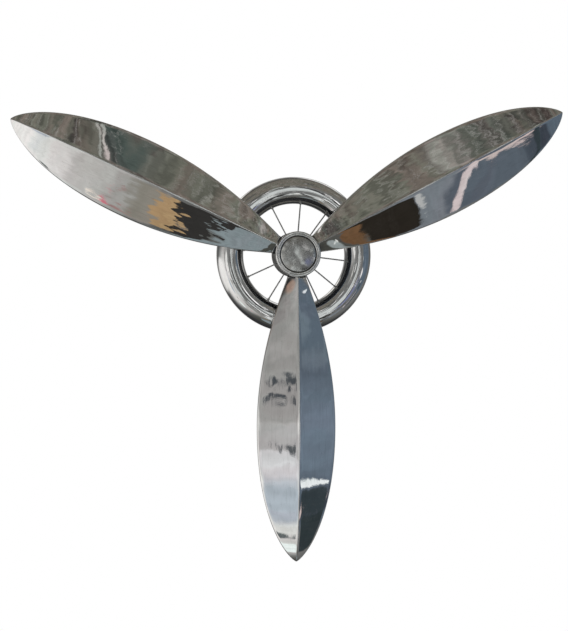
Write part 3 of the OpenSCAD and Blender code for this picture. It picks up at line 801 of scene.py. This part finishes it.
def with_panel(w, where, room, right, up, wide, tall, tilt, soft, colour):
    """The room's colour with one more panel over it."""
    outward = direction(right, up)
    rightward = direction(right + 90, 0)
    axes = Matrix((rightward, outward.cross(rightward), outward)).transposed()
    turned = axes @ Matrix.Rotation(math.radians(tilt), 3, "Z")
    patch = w.add("ShaderNodeMapping")
    patch.vector_type = "TEXTURE"
    patch.inputs["Location"].default_value = outward
    patch.inputs["Rotation"].default_value = turned.to_euler()
    patch.inputs["Scale"].default_value = (math.sin(math.radians(wide)), math.sin(math.radians(tall)), 1)
    w.link(where, patch.inputs["Vector"])
    away = w.vector_maths("LENGTH", patch.outputs[0])
    return w.mix(w.ramp(away, 0.0, 1.0, 1 + soft, 1 - soft), room, colour)


def cluttered(w, wavering, room):
    """The room with light and dark mottling, and bright wavy lines along one contour of a noise."""
    parts = w.add("ShaderNodeSeparateXYZ")
    w.link(w.place, parts.inputs[0])
    height = parts.outputs["Z"]
    overhead = w.straight_ramp(height, 0.25, 1.0, 0.35, 0.62)
    cloud = w.straight_ramp(w.noise(30.0, 8.0), -0.45, 0.45, 0.32, 0.68)
    mottled = w.vector_maths("SCALE", room, scale=w.maths("MULTIPLY_ADD", cloud, overhead, 1.0))
    tint = w.mix(w.straight_ramp(w.noise(13.0, 6.0), 0.0, 1.0, 0.42, 0.58),
                 (1.08, 0.97, 0.97), (0.95, 1.02, 0.97))
    tint = w.mix(overhead, (1.01, 1.0, 1.0), tint)
    contour = w.maths("COMPARE", w.noise(16.0, 4.0, vector=wavering), 0.5, 0.008)
    lines = w.maths("MULTIPLY", contour, w.straight_ramp(height, 0.02, 0.45, 0.35, 0.62))
    return w.mix(lines, w.vector_maths("MULTIPLY", mottled, tint), (0.45, 0.44, 0.42))


def studio_world():
    """White to the eye, and a dim room with soft panels to everything that mirrors it."""
    world = bpy.data.worlds.new("studio")
    bpy.context.scene.world = world
    world.use_nodes = True
    world.node_tree.nodes.clear()
    w = Tree(world.node_tree, "Generated")

    # The panels' edges waver a little.
    centred = w.vector_maths("SUBTRACT", w.noise(5.0, 3.0, output="Color"), (0.5, 0.5, 0.5))
    wavering = w.vector_maths("ADD", w.place, w.vector_maths("SCALE", centred, scale=PANEL_WAVER))

    room = ROOM_COLOUR
    for panel in PANELS:
        room = with_panel(w, wavering, room, *panel)
    room = cluttered(w, wavering, room)

    # In front of the object, where mostly the ring and the cap look, there are bright and dark scraps.
    ahead = w.vector_maths("DOT_PRODUCT", w.place, direction(*AHEAD))
    near = w.straight_ramp(ahead, 0.0, 1.0, math.cos(math.radians(AHEAD_FROM)),
                           math.cos(math.radians(AHEAD_FULL)))
    for scale, low_at, high_at, colour in SCRAPS:
        patches = w.straight_ramp(w.noise(scale, 3.0), 0.0, 1.0, low_at, high_at)
        room = w.mix(w.maths("MULTIPLY", patches, near), room, colour)

    seen = w.add("ShaderNodeBackground")
    seen.inputs["Color"].default_value = (1, 1, 1, 1)
    mirrored = w.add("ShaderNodeBackground")
    w.link(room, mirrored.inputs["Color"])
    choose = w.add("ShaderNodeMixShader")
    w.link(w.add("ShaderNodeLightPath").outputs["Is Camera Ray"], choose.inputs["Fac"])
    w.link(mirrored.outputs[0], choose.inputs[1])
    w.link(seen.outputs[0], choose.inputs[2])
    w.link(choose.outputs[0], w.add("ShaderNodeOutputWorld").inputs["Surface"])


def area_light(name, right, up, distance, size, power, colour=(1, 1, 1)):
    data = bpy.data.lights.new(name, "AREA")
    data.shape = "DISK"
    data.size = size
    data.energy = power
    data.color = colour
    light = bpy.data.objects.new(name, data)
    bpy.context.scene.collection.objects.link(light)
    light.location = direction(right, up) * distance
    light.rotation_euler = (-direction(right, up)).to_track_quat("-Z", "Y").to_euler()
    light.visible_glossy = False


FLOOR_R, FLOOR_Z = 1.5, -1.35


def pale_floor():
    """A pale round floor below the lower blade, out of the front view."""
    bm = bmesh.new()
    bmesh.ops.create_circle(bm, cap_ends=True, segments=96, radius=FLOOR_R)
    obj = object_from_bmesh("floor", bm)
    obj.location = (0, 0, FLOOR_Z)
    m = Nodes("floor_paint")
    m.link(m.mix(m.ramp(m.noise(3.0), 0.0, 1.0), (0.82, 0.82, 0.81), (0.78, 0.78, 0.77)),
           m.shader.inputs["Base Color"])
    m.set(Roughness=0.85)
    give(obj, m.material)
    obj.visible_glossy = False


# The photograph's viewpoint: low on the left, looking slightly to the right.
CAMERA_PLACE = (-0.3775, -2.6870, -0.0607)
CAMERA_HEADING, CAMERA_PITCH, CAMERA_ROLL = (math.radians(a) for a in (7.55, -1.543, 1.415))
LENS_MM, SENSOR_MM = 69.33, 36


def add_camera():
    data = bpy.data.cameras.new("camera")
    camera = bpy.data.objects.new("camera", data)
    bpy.context.scene.collection.objects.link(camera)
    data.lens = LENS_MM
    data.sensor_width = SENSOR_MM
    camera.location = CAMERA_PLACE
    level = math.cos(CAMERA_PITCH)
    forward = Vector((math.sin(CAMERA_HEADING) * level, math.cos(CAMERA_HEADING) * level,
                      math.sin(CAMERA_PITCH)))
    roll = Matrix.Rotation(-CAMERA_ROLL, 4, "Z").to_quaternion()
    camera.rotation_mode = "QUATERNION"
    camera.rotation_quaternion = forward.to_track_quat("-Z", "Y") @ roll
    bpy.context.scene.camera = camera


studio_world()
area_light("key_light", -40, 45, 3.0, 1.6, 90)
area_light("fill_light", 55, 10, 3.2, 1.8, 45, (0.92, 0.96, 1.0))
area_light("back_light", 180, 35, 3.0, 1.6, 60)
pale_floor()
add_camera()
bpy.context.scene.view_settings.view_transform = "Standard"
